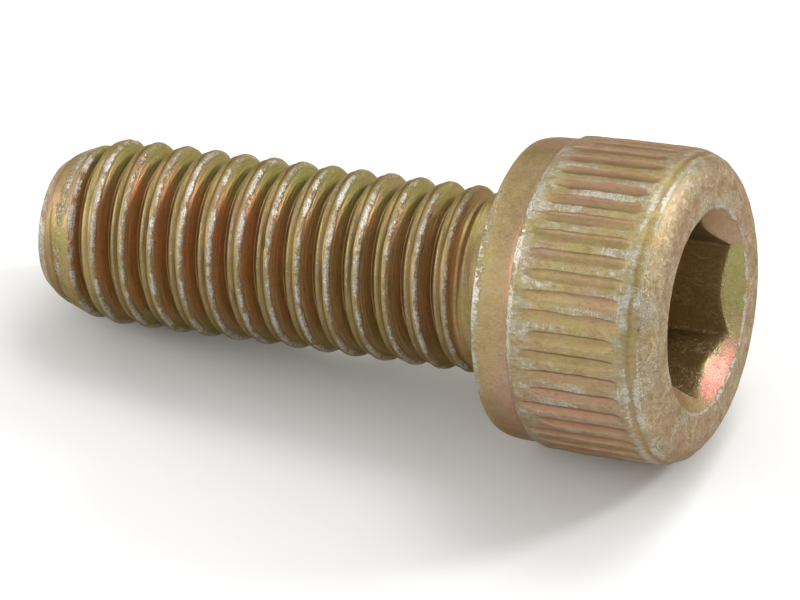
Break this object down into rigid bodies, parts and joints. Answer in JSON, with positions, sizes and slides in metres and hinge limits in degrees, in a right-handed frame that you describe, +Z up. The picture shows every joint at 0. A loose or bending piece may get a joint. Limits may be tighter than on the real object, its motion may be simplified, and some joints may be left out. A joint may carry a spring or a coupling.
{
  "type": "socket head cap screw",
  "caption": "Cap screw with a straight-knurled cylindrical head, countersunk hexagon socket, right-hand thread up to a short neck and a rounded point, lying on its side.",
  "frame": {"origin": "on the surface the screw lies on, under the middle of its bounding box", "axes": "+X along the level direction from the point to the head, +Z up; the screw's own axis lies in the XZ plane and rises 7.406 degrees towards the head"},
  "size_m": [0.0226, 0.0098, 0.0103],
  "materials": {
    "zinc_plated_steel": "yellow chromate over zinc on forged steel, satin olive-gold with rose and green casts, worn silvery on the crests, ridges and rims"
  },
  "bodies": {
    "root": {"cap_screw": "zinc_plated_steel"}
  },
  "joints": []
}
